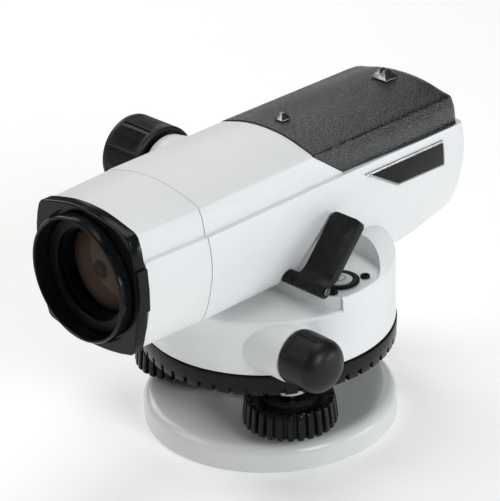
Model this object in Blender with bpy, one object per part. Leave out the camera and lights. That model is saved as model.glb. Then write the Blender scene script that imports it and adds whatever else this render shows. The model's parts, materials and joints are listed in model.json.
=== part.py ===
"""Automatic level: a surveyor's telescope on a levelling base.

Frame: metres, +Z up. The origin lies on the vertical axis, on the underside
of the base plate. The objective faces -Y and the eyepiece +Y.
Sizes below are in millimetres and are turned into metres when a mesh is made.
"""

import math

import bmesh
import bpy
from mathutils import Matrix, Vector

MM = 0.001

# ---------------------------------------------------------------- dimensions
BASE_R = 55.0            # base plate radius
BASE_T = 12.0            # base plate thickness
TRIPOD_HOLE_R = 7.2      # clear bore of the 5/8 inch tripod screw socket
FOOT_PCR = 40.7          # foot screws, distance from the vertical axis
FOOT_ANGLES = (-33.0, -153.0, 87.0)
FOOT_KNOB_R = 20.0
FOOT_KNOB_Z = (17.5, 29.2)
RING_R = 55.0            # horizontal circle ring
RING_Z = (37.0, 45.7)
DRUM_R = 54.5            # drum of the rotating upper part
DRUM_Z = (46.4, 70.5)
DRUM_WALL = 3.0
PAD_Z = 76.0             # raised block that carries the circular vial
OPTIC_Z = 101.84         # height of the line of sight
BODY_Y = (-61.6, 90.8)   # telescope casting, front and rear
FRONT_Y = (-93.0, -62.0) # front tube section
HOOD_Y = (-98.45, -93.3) # square bezel plate
RIM_Y = -103.8           # front of the round rim
RIM_R = 26.44
EYE_END = 103.8          # rear of the eyecup
COVER_Y0 = 2.1           # front edge of the top cover, on the top face
GROOVE_Z = 115.1         # step between upper facet and side panel
TANGENT_Y, TANGENT_Z = -33.3, 58.2   # axis of the tangent shaft
TANGENT_X = (50.2, 69.8)             # knob, inner and outer end
FOCUS_Y, FOCUS_Z = -19.0, 110.2      # axis of the focusing knob
FOCUS_X = (-39.8, -61.6)
SIDE_PLATE = [(26.4, 111.9), (75.0, 111.3), (75.1, 99.7), (45.5, 100.6)]
VIAL = (42.4, 0.0)       # centre of the circular vial
VIAL_R = 8.3
VIAL_SCREW_PCR = 11.0    # three screws round the vial
VIAL_SCREW_ANGLES = (60.0, -60.0, 180.0)
HINGE_Y, HINGE_Z = -15.4, 79.8       # axis of the folding mirror
HINGE_R = 3.15           # its barrel
MIRROR_TILT = 48.0       # angle of the mirror plate above the horizontal
MIRROR_LEN = 32.0
SEG = 48

for old in list(bpy.data.objects):
    bpy.data.objects.remove(old, do_unlink=True)


# ------------------------------------------------------------------ materials
def paint(name, colour, roughness, metallic=0.0, alpha=1.0):
    material = bpy.data.materials.new(name)
    material.use_nodes = True
    shader = material.node_tree.nodes["Principled BSDF"]
    shader.inputs["Base Color"].default_value = (*colour, 1.0)
    shader.inputs["Roughness"].default_value = roughness
    shader.inputs["Metallic"].default_value = metallic
    shader.inputs["Alpha"].default_value = alpha
    return material


WHITE = paint("white_enamel", (0.80, 0.81, 0.80), 0.35)
BASEWHITE = paint("base_enamel", (0.76, 0.77, 0.76), 0.35)
BLACK = paint("black_plastic", (0.02, 0.02, 0.022), 0.45)
LEATHER = paint("black_textured_enamel", (0.03, 0.03, 0.032), 0.5)
RUBBER = paint("black_rubber", (0.018, 0.018, 0.018), 0.7)
ANODISED = paint("black_anodised", (0.012, 0.012, 0.013), 0.5, 0.6)
STEEL = paint("steel", (0.55, 0.55, 0.56), 0.3, 1.0)
BRASS = paint("brass", (0.72, 0.55, 0.28), 0.3, 1.0)
ALU = paint("aluminium", (0.62, 0.62, 0.61), 0.45, 1.0)
GLASS = paint("glass", (0.75, 0.65, 0.62), 0.05, 0.0, 0.4)
SILVERED = paint("mirror", (0.9, 0.9, 0.9), 0.03, 1.0)


# -------------------------------------------------------------------- helpers
def empty(name, at, parent=None):
    obj = bpy.data.objects.new(name, None)
    obj.empty_display_size = 0.01
    bpy.context.scene.collection.objects.link(obj)
    obj["at"] = at
    obj.parent = parent
    base = parent["at"] if parent else (0.0, 0.0, 0.0)
    obj.location = [(a - b) * MM for a, b in zip(at, base)]
    return obj


def volume(points, faces):
    total = 0.0
    for face in faces:
        a = Vector(points[face[0]])
        for i in range(1, len(face) - 1):
            total += a.dot(Vector(points[face[i]]).cross(Vector(points[face[i + 1]])))
    return total


def solid(name, points, faces, material=None, parent=None, origin=(0, 0, 0), smooth=30.0):
    """A mesh object from world points in mm; its origin sits at origin."""
    if volume(points, faces) < 0:
        faces = [tuple(reversed(face)) for face in faces]
    mesh = bpy.data.meshes.new(name)
    mesh.from_pydata([[(p - o) * MM for p, o in zip(q, origin)] for q in points], [], faces)
    mesh.update()
    if smooth:
        mesh.shade_smooth()
        mesh.set_sharp_from_angle(angle=math.radians(smooth))
    obj = bpy.data.objects.new(name, mesh)
    bpy.context.scene.collection.objects.link(obj)
    base = parent["at"] if parent else (0.0, 0.0, 0.0)
    obj.parent = parent
    obj.location = [(a - b) * MM for a, b in zip(origin, base)]
    if material:
        mesh.materials.append(material)
    return obj


def place(axis, centre, r, angle, h):
    """World point at radius r, angle and height h about an axis through centre."""
    c, s = r * math.cos(angle), r * math.sin(angle)
    x, y, z = centre
    if axis == "Z":
        return (x + c, y + s, z + h)
    if axis == "Y":
        return (x + c, y + h, z + s)
    return (x + h, y + c, z + s)


def turned(name, profile, axis, centre, material=None, parent=None, origin=None, seg=SEG, ribs=0, rib_points=(), rib_depth=0.0, phase=0.0, smooth=30.0):
    """A turned solid: the closed profile of (radius, height) goes round the axis.

    Profile points listed in rib_points get a scalloped radius, ribs times round.
    """
    points, rings = [], []
    count = len(profile)
    for i, (r, h) in enumerate(profile):
        if r < 1e-6:
            near = [profile[(i + d) % count] for d in (-1, 1)]
            if any(n[0] > 1e-6 and abs(n[1] - h) < 1e-6 for n in near):
                rings.append(None)  # a flat end: one face caps the ring
                continue
            rings.append([len(points)])
            points.append(place(axis, centre, 0.0, 0.0, h))
            continue
        ring = []
        for k in range(seg):
            radius = r
            if ribs and i in rib_points:
                radius -= rib_depth * (0 if (k * ribs * 2 // seg) % 2 == 0 else 1)
            ring.append(len(points))
            points.append(place(axis, centre, radius, 2 * math.pi * (k + phase) / seg, h))
        rings.append(ring)
    faces = []
    for i in range(len(rings)):
        a, b = rings[i], rings[(i + 1) % len(rings)]
        if a is None or b is None:
            cap = a or b or []
            if len(cap) > 1:
                faces.append(tuple(reversed(cap)) if a is None else tuple(cap))
            continue
        if len(a) == 1 and len(b) == 1:
            continue
        for k in range(seg):
            j = (k + 1) % seg
            if len(a) == 1:
                faces.append((a[0], b[j], b[k]))
            elif len(b) == 1:
                faces.append((a[k], a[j], b[0]))
            else:
                faces.append((a[k], a[j], b[j], b[k]))
    return solid(name, points, faces, material, parent, origin if origin is not None else centre, smooth)


def prism(name, outline, axis, lo, hi, material=None, parent=None, origin=(0, 0, 0), smooth=30.0):
    """A straight extrusion of a closed outline between lo and hi along the axis."""
    n = len(outline)

    def put(u, v, h):
        return {"Z": (u, v, h), "Y": (u, h, v), "X": (h, u, v)}[axis]

    points = [put(u, v, lo) for u, v in outline] + [put(u, v, hi) for u, v in outline]
    faces = [tuple(range(n)), tuple(range(2 * n - 1, n - 1, -1))]
    faces += [(k, k + n, (k + 1) % n + n, (k + 1) % n) for k in range(n)]
    return solid(name, points, faces, material, parent, origin, smooth)


def loft(name, rings, material=None, parent=None, origin=(0, 0, 0), smooth=30.0):
    """A solid through rings of equal point count, closed at both ends."""
    n = len(rings[0])
    points = [p for ring in rings for p in ring]
    faces = [tuple(range(n)), tuple(range(len(points) - 1, len(points) - n - 1, -1))]
    for i in range(len(rings) - 1):
        a, b = i * n, (i + 1) * n
        faces += [(a + k, b + k, b + (k + 1) % n, a + (k + 1) % n) for k in range(n)]
    return solid(name, points, faces, material, parent, origin, smooth)


def box(name, lo, hi, material=None, parent=None, origin=(0, 0, 0)):
    outline = [(lo[0], lo[1]), (hi[0], lo[1]), (hi[0], hi[1]), (lo[0], hi[1])]
    return prism(name, outline, "Z", lo[2], hi[2], material, parent, origin, 0.0)


def combine(target, operation, *tools):
    """Joins or cuts the target with each tool, then removes the tools."""
    for tool in tools:
        tool.hide_render = True
        tool.display_type = "WIRE"
        modifier = target.modifiers.new(tool.name, "BOOLEAN")
        modifier.operation = operation
        modifier.object = tool
        modifier.solver = "EXACT"
        bpy.context.view_layer.update()
        graph = bpy.context.evaluated_depsgraph_get()
        mesh = bpy.data.meshes.new_from_object(target.evaluated_get(graph))
        target.modifiers.clear()
        old = target.data
        target.data = mesh
        bpy.data.meshes.remove(old)
        bpy.data.objects.remove(tool, do_unlink=True)
    target.data.shade_smooth()
    target.data.set_sharp_from_angle(angle=math.radians(30.0))
    return target


def rotated(obj, axis, centre, degrees):
    """Turns the mesh about a world axis through centre (mm), keeping the object's origin."""
    c = Vector(centre) * MM
    obj_at = Vector(obj.location) + (Vector(obj.parent["at"]) * MM if obj.parent else Vector())
    turn = Matrix.Translation(c - obj_at) @ Matrix.Rotation(math.radians(degrees), 4, axis) @ Matrix.Translation(obj_at - c)
    obj.data.transform(turn)
    return obj


# -------------------------------------------------------------------- frames
base = empty("frame_base", (0, 0, 0))
FEET = [(FOOT_PCR * math.cos(math.radians(a)), FOOT_PCR * math.sin(math.radians(a))) for a in FOOT_ANGLES]
feet = [empty(f"frame_foot_{i + 1}", (x, y, BASE_T), base) for i, (x, y) in enumerate(FEET)]
trib = empty("frame_tribrach", (0, 0, 35.0), base)
circle = empty("frame_circle", (0, 0, RING_Z[0]), trib)
wheel = empty("frame_worm_wheel", (0, 0, TANGENT_Z), trib)
alidade = empty("frame_alidade", (0, 0, DRUM_Z[0]), wheel)
tangent = empty("frame_tangent", (0, TANGENT_Y, TANGENT_Z), alidade)
focus = empty("frame_focus", (0, FOCUS_Y, FOCUS_Z), alidade)
slide = empty("frame_focus_slide", (0, -40.0, OPTIC_Z), alidade)
pendulum = empty("frame_pendulum", (0, 32.0, 119.0), alidade)
diopter = empty("frame_diopter", (0, 92.0, OPTIC_Z), alidade)
eyetube = empty("frame_eye_tube", (0, 84.0, OPTIC_Z), alidade)
mirror = empty("frame_mirror", (0, HINGE_Y, HINGE_Z), alidade)

# ---------------------------------------------------------------- base plate
R, T = BASE_R, BASE_T
edge = [(R - 5.0 + 5.0 * math.sin(a), T - 5.0 + 5.0 * math.cos(a)) for a in [math.radians(22.5 * k) for k in range(1, 5)]]
profile = [(TRIPOD_HOLE_R, T), (49.0, T)] + edge[0:] + [(R, 1.2), (R - 1.2, 0.0), (TRIPOD_HOLE_R, 0.0)]
base_plate = turned("base_plate", profile, "Z", (0, 0, 0), BASEWHITE, base, seg=48)

# Three-armed spring plate: holds the ball ends of the foot screws on the base.
outline = []
for x, y in FEET:
    a = math.atan2(y, x)
    outline += [(FOOT_PCR * math.cos(a) + 9.0 * math.cos(a + t), FOOT_PCR * math.sin(a) + 9.0 * math.sin(a + t)) for t in [math.radians(d) for d in (-80, -48, -16, 16, 48, 80)]]
    b = a + math.radians(60)
    outline.append((15.0 * math.cos(b), 15.0 * math.sin(b)))
outline = sorted(outline, key=lambda p: (math.atan2(p[1], p[0]) - math.radians(FOOT_ANGLES[1] - 60)) % (2 * math.pi))
spring_plate = prism("spring_plate", outline, "Z", T + 0.3, T + 1.3, STEEL, base)
cut = turned("cut", [(9.5, -5), (9.5, 5), (0, 5), (0, -5)], "Z", (0, 0, T), seg=24)
combine(spring_plate, "DIFFERENCE", cut, *[turned("cut", [(4.3, -5), (4.3, 5), (0, 5), (0, -5)], "Z", (x, y, T), seg=18) for x, y in FEET])

# --------------------------------------------------------------- foot screws
for i, (x, y) in enumerate(FEET):
    k0, k1 = FOOT_KNOB_Z
    spindle = [(0.0, 12.4), (2.6, 12.9), (3.9, 14.4), (3.9, 15.4), (3.0, 16.4), (3.0, k1 - 1.0), (3.4, k1 + 0.2), (3.4, 34.5), (2.9, 35.0), (0.0, 35.0)]
    turned(f"foot_screw_{i + 1}", spindle, "Z", (x, y, 0), STEEL, feet[i], (x, y, BASE_T), seg=16)
    rk = FOOT_KNOB_R
    knob = [(3.3, k0), (rk - 1.8, k0), (rk, k0 + 0.9), (rk - 1.2, k1 - 1.0), (rk - 3.2, k1), (12.5, k1), (11.8, k1 + 1.9), (10.0, k1 + 1.9), (9.6, k1 - 1.4), (3.7, k1 - 1.4)]
    turned(f"foot_knob_{i + 1}", knob, "Z", (x, y, 0), BLACK, feet[i], (x, y, BASE_T), seg=24)

# ------------------------------------------------------------------ tribrach
tribrach = turned("tribrach", [(12.8, 33.0), (33.0, 33.0), (33.0, 36.4), (19.6, 36.4), (19.6, 61.0), (12.8, 61.0)], "Z", (0, 0, 0), BASEWHITE, trib, (0, 0, 35.0), seg=32)
for x, y in FEET:
    combine(tribrach, "UNION", turned("boss", [(0, 32.7), (8.0, 32.7), (8.0, 36.6), (0, 36.6)], "Z", (x, y, 0), seg=18))
for x, y in FEET:
    combine(tribrach, "DIFFERENCE", turned("cut", [(0, 30), (4.1, 30), (4.1, 40), (0, 40)], "Z", (x, y, 0), seg=16))
turned("axis_sleeve", [(10.3, 33.5), (12.5, 33.5), (12.5, 60.5), (10.3, 60.5)], "Z", (0, 0, 0), BRASS, trib, (0, 0, 35.0), seg=32)

# ------------------------------------------- horizontal circle and its grip
z0, z1 = RING_Z
ring = [(20.2, z0), (RING_R - 0.6, z0), (RING_R - 0.4, z0 + 0.5), (RING_R, z1 - 0.5), (RING_R - 0.5, z1), (49.5, z1), (49.0, z0 + 2.4), (20.2, z0 + 2.4)]
turned("circle_ring", ring, "Z", (0, 0, 0), BLACK, circle, (0, 0, z0), seg=48)
turned("worm_wheel", [(20.0, TANGENT_Z - 2.5), (28.5, TANGENT_Z - 2.5), (28.2, TANGENT_Z), (28.5, TANGENT_Z + 2.5), (20.0, TANGENT_Z + 2.5)], "Z", (0, 0, 0), BRASS, wheel, (0, 0, TANGENT_Z), seg=32)


# ------------------------------------------------------------- main casting
def section(grow=0.0, bottom=76.35, narrow=0.0, top=0.0):
    """Right half of the telescope's cross-section, top centre to bottom centre."""
    crown = 131.6 + top
    half = [(0.0, crown), (7.0, crown - 0.35), (14.0, crown - 1.4), (21.0, crown - 3.2), (25.6, 127.0 + top * 0.5), (26.7, 126.1 + top * 0.3)]
    half += [(28.5, 121.8), (29.3, 117.0), (29.4, GROOVE_Z + 0.5), (31.2, GROOVE_Z), (32.5, 110.0), (33.0, 103.0), (32.6, 97.0)]
    drop = bottom - 76.35
    half += [(30.3, 87.0 + drop * 0.3), (27.6, 80.0 + drop * 0.8), (25.6, bottom), (18.0, bottom - 2.6), (9.0, bottom - 4.2), (0.0, bottom - 4.7)]
    out = []
    for x, z in half:
        length = math.hypot(x, z - OPTIC_Z)
        f = (length + grow) / length
        out.append((max(0.0, x * f - narrow * x / 33.0), OPTIC_Z + (z - OPTIC_Z) * f))
    return out


def ring_at(y, **how):
    half = section(**how)
    return [(x, y, z) for x, z in half] + [(-x, y, z) for x, z in reversed(half[1:-1])]


# Flared shoulder and vial block on the drum.
shoulder_profile = [(0.0, 68.0), (DRUM_R, 68.0), (DRUM_R, 74.2), (53.6, 76.4), (51.6, 79.6), (49.4, 82.2), (46.4, 84.4), (42.0, 85.6), (34.0, 86.4), (0.0, 86.4)]
housing = turned("alidade_housing", shoulder_profile, "Z", (0, 0, 0), WHITE, alidade, (0, 0, DRUM_Z[0]), seg=48)
clip = prism("clip", [(-70, 70), (-70, -9.7), (-52, -9.7), (-46.6, -13.1), (-40, -14.6), (-34, -15.4), (34, -15.4), (40, -14.6), (46.6, -13.1), (52, -9.7), (70, -9.7), (70, 70)], "Z", 60, 110)
combine(housing, "INTERSECT", clip)
pocket = prism("pocket", [(22, -40), (70, -40), (70, 9.0), (53.6, 9.4), (50.8, 15.4), (46.2, 19.7), (40.7, 22.1), (36.5, 23.4), (22, 24.0)], "Z", PAD_Z, 110)
combine(housing, "DIFFERENCE", pocket)
drum = turned("drum", [(0, DRUM_Z[0]), (DRUM_R - 0.4, DRUM_Z[0]), (DRUM_R, DRUM_Z[0] + 0.6), (DRUM_R, DRUM_Z[1] - 0.8), (DRUM_R - 0.8, DRUM_Z[1]), (0, DRUM_Z[1])], "Z", (0, 0, 0), seg=48, phase=0.31)
boss = turned("boss", [(0, -50), (11.2, -50), (11.8, -49.2), (11.8, 49.2), (11.2, 50), (0, 50)], "X", (0, TANGENT_Y, TANGENT_Z), seg=24)
tele = loft("tele", [ring_at(BODY_Y[0]), ring_at(24.0), ring_at(46.0, bottom=69.0), ring_at(56.0, bottom=68.6), ring_at(75.6, bottom=72.2), ring_at(87.0, bottom=74.6), ring_at(BODY_Y[1] - 0.6, bottom=75.6, grow=-1.6), ring_at(BODY_Y[1], bottom=76.2, grow=-3.4)])
focus_boss = turned("fboss", [(0, -38.6), (13.2, -38.6), (13.8, -38.0), (15.5, -27.0), (0, -27.0)], "X", (0, FOCUS_Y, FOCUS_Z), seg=28)
combine(housing, "UNION", drum, boss, tele, focus_boss)
# Hollows: the drum from below, the telescope from its front and top.
drum_hollow = turned("cut", [(0, 40.0), (DRUM_R - DRUM_WALL, 40.0), (DRUM_R - DRUM_WALL, 66.3), (0, 66.3)], "Z", (0, 0, 0), seg=48, phase=0.17)
tele_hollow = loft("cut", [ring_at(-70.0, grow=-2.6), ring_at(24.0, grow=-2.6), ring_at(88.0, grow=-2.6, bottom=77.6)])
window = prism("cut", [(COVER_Y0 - 0.2, 140.0), (COVER_Y0 - 0.2, 126.4), (16.8, GROOVE_Z + 0.2), (110.0, GROOVE_Z - 0.9), (110.0, 140.0)], "X", -60, 60)
shaft_hole = turned("cut", [(0, -80), (5.4, -80), (5.4, 80), (0, 80)], "X", (0, TANGENT_Y, TANGENT_Z), seg=18)
focus_hole = turned("cut", [(0, -50), (6.4, -50), (6.4, -20), (0, -20)], "X", (0, FOCUS_Y, FOCUS_Z), seg=18)
eye_hole = turned("cut", [(0, 80), (11.4, 80), (11.4, 100), (0, 100)], "Y", (0, 0, OPTIC_Z), seg=28)
combine(housing, "DIFFERENCE", drum_hollow, tele_hollow, window, shaft_hole, focus_hole, eye_hole)

# Floor plate of the drum, and the vertical axis spindle.
turned("drum_floor_plate", [(20.6, 46.9), (DRUM_R - DRUM_WALL - 0.4, 46.9), (DRUM_R - DRUM_WALL - 0.4, 48.9), (20.6, 48.9)], "Z", (0, 0, 0), ALU, alidade, (0, 0, DRUM_Z[0]), seg=32)
turned("axis_spindle", [(0, 34.5), (9.2, 34.5), (10.0, 35.3), (10.0, 62.0), (27.0, 62.0), (27.0, 66.0), (0, 66.0)], "Z", (0, 0, 0), STEEL, alidade, (0, 0, DRUM_Z[0]), seg=32)

# ------------------------------------------------------------- tangent drive
for side, sign in (("right", 1), ("left", -1)):
    bush = [(3.3, 39.5 * sign), (5.1, 39.5 * sign), (5.1, 49.6 * sign), (3.3, 49.6 * sign)]
    turned(f"tangent_bush_{side}", bush, "X", (0, TANGENT_Y, TANGENT_Z), BRASS, alidade, (0, TANGENT_Y, TANGENT_Z), seg=18)
    a, b = TANGENT_X
    rk = 11.6
    knob = [(3.3, a * sign), (rk - 0.8, a * sign), (rk, (a + 1.0) * sign), (rk - 0.2, (a + 12.5) * sign), (rk - 1.2, (a + 15.4) * sign), (rk - 3.0, (a + 17.6) * sign), (rk - 6.0, (a + 19.0) * sign), (0, b * sign), (0, (a + 15.0) * sign), (3.3, (a + 15.0) * sign)]
    turned(f"tangent_knob_{side}", knob, "X", (0, TANGENT_Y, TANGENT_Z), RUBBER, tangent, (0, TANGENT_Y, TANGENT_Z), seg=20)
worm = [(0, -64.8), (3.0, -64.8), (3.0, -9.0), (4.4, -8.0)]
for k in range(-2, 3):
    worm += [(4.4, k * 2.2 - 0.9), (3.6, k * 2.2 - 0.3), (3.6, k * 2.2 + 0.3), (4.4, k * 2.2 + 0.9)]
worm += [(4.4, 8.0), (3.0, 9.0), (3.0, 64.8), (0, 64.8)]
turned("tangent_shaft", worm, "X", (0, TANGENT_Y, TANGENT_Z), STEEL, tangent, (0, TANGENT_Y, TANGENT_Z), seg=12)

# --------------------------------------------------- front section and optics
front = loft("front_housing", [ring_at(FRONT_Y[0], narrow=2.0, top=-0.25, grow=-0.3), ring_at(FRONT_Y[1], narrow=0.25, grow=-0.12)], WHITE, alidade, (0, FRONT_Y[1], OPTIC_Z))
combine(front, "DIFFERENCE", turned("cut", [(0, -100), (22.4, -100), (22.4, -50), (0, -50)], "Y", (0, 0, OPTIC_Z), seg=32))

hood_half = [(0.0, 131.4), (7.0, 131.0), (13.0, 130.0), (19.0, 128.6), (24.2, 127.2), (26.4, 125.4), (27.9, 121.0), (29.0, 115.0), (29.6, 106.0), (29.5, 97.0), (28.6, 89.0), (26.8, 81.0), (25.2, 76.3), (23.6, 75.0), (17.4, 73.4), (11.0, 72.4), (5.5, 71.9), (0.0, 71.7)]
hood_outline = hood_half + [(-x, z) for x, z in reversed(hood_half[1:-1])]
hood = prism("objective_hood", hood_outline, "Y", HOOD_Y[0], HOOD_Y[1], BLACK, alidade, (0, HOOD_Y[1], OPTIC_Z))
for sign in (1, -1):
    pad = [(27.0 * sign, 114.0), (30.6 * sign, 113.4), (31.2 * sign, 104.5), (31.0 * sign, 95.6), (27.0 * sign, 95.2)]
    combine(hood, "UNION", prism("pad", pad, "Y", HOOD_Y[0] + 0.1, HOOD_Y[1] + 0.0, origin=(0, 0, 0)))
combine(hood, "DIFFERENCE", turned("cut", [(0, -99.6), (27.9, -99.6), (27.9, -95.6), (0, -95.6)], "Y", (0, 0, OPTIC_Z), seg=32, phase=0.5))
combine(hood, "UNION", turned("rim", [(0, RIM_Y), (RIM_R - 0.6, RIM_Y), (RIM_R, RIM_Y + 0.7), (RIM_R, -94.4), (0, -94.4)], "Y", (0, 0, OPTIC_Z), seg=32))
combine(hood, "DIFFERENCE", turned("cut", [(0, -110), (24.9, -110), (24.4, -94.9), (22.3, -94.8), (22.3, -80), (0, -80)], "Y", (0, 0, OPTIC_Z), seg=32))

turned("objective_cell", [(18.6, -94.0), (22.0, -94.0), (22.0, -70.0), (17.0, -70.0), (17.0, -82.5), (18.6, -82.5)], "Y", (0, 0, OPTIC_Z), ANODISED, alidade, (0, -94.0, OPTIC_Z), seg=32)
lens = [(0.0, -91.0), (6.0, -90.8), (12.0, -90.1), (18.3, -88.8), (18.3, -84.6), (12.0, -84.2), (6.0, -83.9), (0.0, -83.8)]
turned("objective_lens", lens, "Y", (0, 0, OPTIC_Z), GLASS, alidade, (0, -89.0, OPTIC_Z), seg=28)
turned("objective_retainer", [(19.4, -97.0), (24.0, -97.0), (24.0, -95.3), (19.4, -95.3)], "Y", (0, 0, OPTIC_Z), ANODISED, alidade, (0, -94.0, OPTIC_Z), seg=32)

# Focusing lens in its sliding cell, with the rack that the pinion drives.
focus_cell = turned("focus_cell", [(11.0, -50.0), (13.0, -50.0), (13.0, -28.0), (11.0, -28.0)], "Y", (0, 0, OPTIC_Z), ALU, slide, (0, -40.0, OPTIC_Z), seg=28)
combine(focus_cell, "UNION", box("rack", (-18.5, -48.0, 103.6), (-12.2, -2.0, 106.0)))
combine(focus_cell, "DIFFERENCE", turned("cut", [(0, -60), (11.0, -60), (11.0, -20), (0, -20)], "Y", (0, 0, OPTIC_Z), seg=28))
turned("focus_lens", [(0.0, -39.0), (10.7, -40.5), (10.7, -36.5), (0.0, -38.0)], "Y", (0, 0, OPTIC_Z), GLASS, slide, (0, -40.0, OPTIC_Z), seg=24)
turned("focus_bush", [(3.3, -38.4), (6.1, -38.4), (6.1, -26.0), (3.3, -26.0)], "X", (0, FOCUS_Y, FOCUS_Z), BRASS, alidade, (0, FOCUS_Y, FOCUS_Z), seg=18)
turned("focus_pinion", [(0, -59.0), (3.0, -59.0), (3.0, -19.0), (3.9, -18.6), (3.9, -12.6), (0, -12.6)], "X", (0, FOCUS_Y, FOCUS_Z), STEEL, focus, (0, FOCUS_Y, FOCUS_Z), seg=16)
a, b = FOCUS_X
knob = [(3.3, a - 2.0), (14.2, a - 2.0), (14.6, a), (16.3, a), (16.5, a - 1.5), (16.5, b + 1.6), (15.0, b), (0, b), (0, -59.3), (3.3, -59.3)]
turned("focus_knob", knob, "X", (0, FOCUS_Y, FOCUS_Z), RUBBER, focus, (0, FOCUS_Y, FOCUS_Z), seg=28)

# Compensator: fixed frame, hanging pendulum with its prism, magnet damper.
comp = box("compensator_frame", (-20.0, 14.0, 78.5), (20.0, 50.0, 122.0), ALU, alidade, (0, 32.0, 100.0))
combine(comp, "DIFFERENCE", box("cut", (-17.0, 10.0, 84.5), (17.0, 54.0, 119.5)), box("cut", (-30.0, 18.0, 87.0), (30.0, 46.0, 116.5)))
arm = box("pendulum_arm", (-11.0, 29.0, 90.4), (11.0, 35.0, 118.8), ALU, pendulum, (0, 32.0, 119.0))
combine(arm, "DIFFERENCE", box("cut", (-8.6, 20.0, 93.4), (8.6, 44.0, 115.8)))
combine(arm, "UNION", box("plate", (-10.4, 26.0, 90.8), (10.4, 38.0, 93.4)))
prism("pendulum_prism", [(26.5, 93.8), (37.5, 93.8), (32.0, 99.3)], "X", -8.0, 8.0, GLASS, pendulum, (0, 32.0, 119.0), 0.0)
turned("damper_magnet", [(0, 84.8), (5.0, 84.8), (5.0, 88.8), (0, 88.8)], "Z", (0, 32.0, 0), STEEL, alidade, (0, 32.0, 84.8), seg=16)
prism("fixed_prism_front", [(17.5, 94.5), (17.5, 110.0), (25.0, 110.0)], "X", -16.7, 16.7, GLASS, alidade, (0, 20.0, 100.0), 0.0)
prism("fixed_prism_rear", [(46.5, 94.5), (46.5, 110.0), (39.0, 110.0)], "X", -16.7, 16.7, GLASS, alidade, (0, 44.0, 100.0), 0.0)

# Reticle and eyepiece.
turned("reticle_cell", [(6.0, 62.0), (10.9, 62.0), (10.9, 70.0), (8.3, 70.0), (8.3, 65.0), (6.0, 65.0)], "Y", (0, 0, OPTIC_Z), BRASS, alidade, (0, 66.0, OPTIC_Z), seg=24)
turned("reticle", [(0, 65.4), (7.9, 65.4), (7.9, 67.2), (0, 67.2)], "Y", (0, 0, OPTIC_Z), GLASS, alidade, (0, 66.0, OPTIC_Z), seg=24)
turned("eyepiece_tube", [(8.6, 71.0), (11.0, 71.0), (11.0, 93.0), (8.6, 93.0)], "Y", (0, 0, OPTIC_Z), ANODISED, alidade, (0, 80.0, OPTIC_Z), seg=28)
turned("eye_lens_tube", [(6.4, 76.0), (8.2, 76.0), (8.2, 97.0), (6.4, 97.0)], "Y", (0, 0, OPTIC_Z), ANODISED, eyetube, (0, 84.0, OPTIC_Z), seg=24)
turned("eye_lens", [(0, 92.0), (6.1, 92.8), (6.1, 95.8), (0, 96.6)], "Y", (0, 0, OPTIC_Z), GLASS, eyetube, (0, 84.0, OPTIC_Z), seg=20)
turned("diopter_ring", [(11.4, 91.6), (14.4, 91.6), (14.8, 92.2), (14.8, 98.4), (14.2, 99.0), (8.6, 99.0), (8.6, 97.2), (8.6, 93.6), (11.4, 93.6)], "Y", (0, 0, OPTIC_Z), BLACK, diopter, (0, 92.0, OPTIC_Z), seg=24)
turned("eyecup", [(8.4, 99.4), (12.4, 99.4), (13.0, 101.8), (12.6, EYE_END), (10.6, EYE_END), (8.4, 101.4)], "Y", (0, 0, OPTIC_Z), RUBBER, diopter, (0, 92.0, OPTIC_Z), seg=28)

# ----------------------------------------------------------- top cover, sights
cover = loft("top_cover", [ring_at(-10.0, top=0.7), ring_at(COVER_Y0, top=0.7), ring_at(80.0, top=-0.4), ring_at(85.4, top=-0.6, grow=-0.5), ring_at(88.6, top=-0.8, grow=-1.8), ring_at(90.4, top=-0.8, grow=-3.8)], LEATHER, alidade, (0, 45.0, GROOVE_Z))
shape = prism("keep", [(COVER_Y0 + 0.15, 140.0), (COVER_Y0 + 0.15, 126.4), (17.1, GROOVE_Z + 0.55), (110.0, GROOVE_Z - 0.55), (110.0, 140.0)], "X", -60, 60)
combine(cover, "INTERSECT", shape)
combine(cover, "DIFFERENCE", loft("cut", [ring_at(-20.0, grow=-3.0), ring_at(87.0, grow=-3.4)]))


def sight(name, y, half_x, half_y, z_low, z_high, notch):
    top_x, top_y = half_x * 0.3, half_y * 0.35
    rings = [[(-half_x, y - half_y, z_low), (half_x, y - half_y, z_low), (half_x, y + half_y, z_low), (-half_x, y + half_y, z_low)],
             [(-top_x, y - top_y, z_high), (top_x, y - top_y, z_high), (top_x, y + top_y, z_high), (-top_x, y + top_y, z_high)]]
    body = loft(name, rings, ALU, alidade, (0, y, z_low), smooth=0.0)
    if notch:
        combine(body, "DIFFERENCE", prism("cut", [(-1.5, z_high + 2), (1.5, z_high + 2), (0.5, z_high - 1.6), (-0.5, z_high - 1.6)], "Y", y - 10, y + 10))
    return body


sight("front_sight", 11.6, 2.4, 2.6, 132.5, 135.3, False)
sight("rear_sight", 73.8, 4.6, 3.8, 131.7, 135.4, True)

# Plain plate on the right side panel.
plate = prism("side_plate", SIDE_PLATE, "X", 28.0, 38.0, BLACK, alidade, (33.0, 55.0, 106.0), 0.0)
combine(plate, "INTERSECT", loft("keep", [ring_at(10.0, grow=0.8), ring_at(84.0, grow=0.8)]))
combine(plate, "DIFFERENCE", loft("cut", [ring_at(8.0, grow=0.3), ring_at(86.0, grow=0.3)]))

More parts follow.
